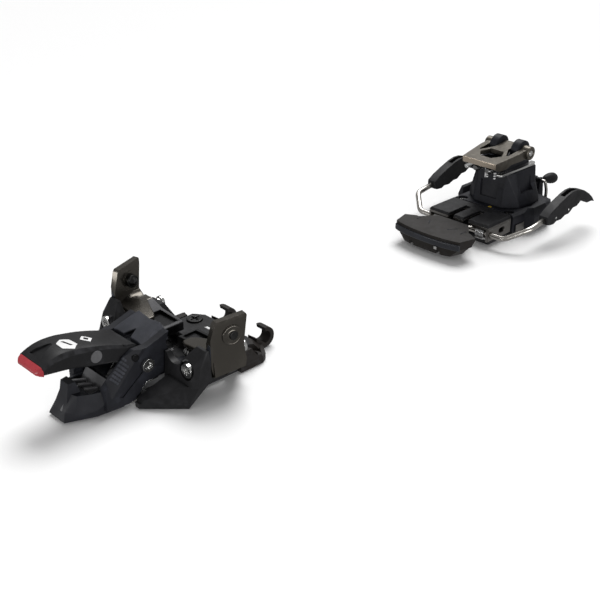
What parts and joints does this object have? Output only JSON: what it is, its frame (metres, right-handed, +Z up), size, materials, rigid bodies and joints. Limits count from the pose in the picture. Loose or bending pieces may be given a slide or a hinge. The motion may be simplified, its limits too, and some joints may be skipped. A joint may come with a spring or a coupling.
{
  "type": "touring binding",
  "caption": "Ski touring binding: pin toe piece with folding wings, pole-pocket opening lever and lock lever, and a turning pin heel with climbing aid and ski brake.",
  "frame": {"origin": "Centre of the four toe screw holes on the ski surface, under the line between the two boot pins.", "axes": "+Y along the ski towards the heel piece, +X to the right seen from the front of the ski, +Z up from the ski surface"},
  "size_m": [0.1076, 0.4573, 0.0625],
  "materials": {
    "black_polymer": "satin, fine moulded grain",
    "blue_black_polymer": "satin, fine moulded grain",
    "brown_black_polymer": "satin, fine moulded grain",
    "grey_polymer": "satin",
    "red_label": "gloss",
    "gold_dot": "satin",
    "titanium_grey": "glossy anodised",
    "black_steel": "black oxide",
    "dark_steel": "dull",
    "bracket_steel": "satin",
    "bright_steel": "polished",
    "wire_steel": "bright drawn wire",
    "heel_pin_steel": "satin",
    "spring_steel": "bright drawn wire"
  },
  "bodies": {
    "chassis": {"toe_base": "black_polymer", "toe_rear_plate": "brown_black_polymer", "toe_cover": "black_polymer", "toe_cover_screws": "black_steel", "wing_axles": "bright_steel", "opening_lever_axle": "bright_steel", "heel_track": "black_polymer", "brake_bracket": "bracket_steel", "brake_cover": "black_polymer", "brake_springs": "spring_steel"},
    "wing_left": {"wing_left": "titanium_grey", "wing_arm_left": "dark_steel", "toe_pin_left": "black_steel", "toe_spring_left": "spring_steel"},
    "wing_right": {"wing_right": "titanium_grey", "wing_arm_right": "dark_steel", "toe_pin_right": "black_steel", "toe_spring_right": "spring_steel"},
    "opening_lever": {"opening_lever": "blue_black_polymer", "lever_side_plates": "bright_steel", "pocket_insert": "grey_polymer", "lock_lever_axle": "dark_steel"},
    "lock_lever": {"lock_lever": "black_polymer", "lock_lever_pin": "grey_polymer", "lock_lever_band": "red_label"},
    "brake": {"brake_pedal": "brown_black_polymer", "brake_wire_left": "wire_steel", "brake_wire_right": "wire_steel", "brake_arm_left": "black_polymer", "brake_arm_right": "black_polymer", "brake_arm_rivets": "bright_steel"},
    "carriage": {"heel_carriage": "blue_black_polymer", "carriage_screws": "bright_steel", "index_dot": "gold_dot", "turn_post": "dark_steel", "rear_bail": "wire_steel"},
    "adjusting_screw": {"adjusting_screw": "bright_steel"},
    "rear_lever": {"rear_lever": "black_polymer"},
    "tower": {"heel_tower": "blue_black_polymer", "tower_rails": "bright_steel", "heel_pin_pivots": "dark_steel", "release_spring": "spring_steel", "climbing_aid_axle": "bright_steel"},
    "heel_pin_left": {"heel_pin_left": "heel_pin_steel"},
    "heel_pin_right": {"heel_pin_right": "heel_pin_steel"},
    "release_screw": {"release_screw": "dark_steel"},
    "climbing_aid": {"climbing_aid": "titanium_grey"}
  },
  "joints": [
    {"name": "opening_lever", "type": "hinge", "parent": "chassis", "child": "opening_lever", "pos_m": [0, -0.034, 0.021], "axis": [-1, 0, 0], "range_deg": [0, 18]},
    {"name": "wing_right", "type": "hinge", "parent": "chassis", "child": "wing_right", "pos_m": [0.0362, 0, 0.0205], "axis": [0, -1, 0], "range_deg": [0, 26]},
    {"name": "wing_left", "type": "hinge", "parent": "chassis", "child": "wing_left", "pos_m": [-0.0362, 0, 0.0205], "axis": [0, 1, 0], "range_deg": [0, 26]},
    {"name": "lock_lever", "type": "hinge", "parent": "opening_lever", "child": "lock_lever", "pos_m": [0, -0.04, 0.027], "axis": [-1, 0, 0], "range_deg": [0, 35]},
    {"name": "brake", "type": "hinge", "parent": "chassis", "child": "brake", "pos_m": [0, 0.256, 0.009], "axis": [-1, 0, 0], "range_deg": [0, 50]},
    {"name": "carriage_slide", "type": "slide", "parent": "chassis", "child": "carriage", "axis": [0, 1, 0], "range_m": [0, 0.012]},
    {"name": "adjusting_screw", "type": "hinge", "parent": "chassis", "child": "adjusting_screw", "pos_m": [0, 0.34, 0.008], "axis": [0, 1, 0], "range_deg": [0, 2880]},
    {"name": "rear_lever", "type": "hinge", "parent": "carriage", "child": "rear_lever", "pos_m": [0.008, 0.34, 0.024], "axis": [1, 0, 0], "range_deg": [0, 60]},
    {"name": "tower_turn", "type": "hinge", "parent": "carriage", "child": "tower", "pos_m": [0, 0.308, 0.03], "axis": [0, 0, 1], "range_deg": [-180, 180]},
    {"name": "heel_pin_left", "type": "hinge", "parent": "tower", "child": "heel_pin_left", "pos_m": [-0.0052, 0.2935, 0.046], "axis": [0, 0, -1], "range_deg": [0, 5]},
    {"name": "heel_pin_right", "type": "hinge", "parent": "tower", "child": "heel_pin_right", "pos_m": [0.0052, 0.2935, 0.046], "axis": [0, 0, 1], "range_deg": [0, 5]},
    {"name": "release_screw", "type": "hinge", "parent": "tower", "child": "release_screw", "pos_m": [0, 0.315, 0.0449], "axis": [0, 1, 0], "continuous": true},
    {"name": "climbing_aid", "type": "hinge", "parent": "tower", "child": "climbing_aid", "pos_m": [0, 0.309, 0.0545], "axis": [-1, 0, 0], "range_deg": [0, 150]}
  ],
  "couplings": [
    {"joint": "wing_right", "follows": "opening_lever", "ratio": 1.4444},
    {"joint": "wing_left", "follows": "opening_lever", "ratio": 1.4444},
    {"joint": "adjusting_screw", "follows": "carriage_slide", "rad_per_m": 4188.8},
    {"joint": "heel_pin_left", "follows": "heel_pin_right", "ratio": 1}
  ]
}
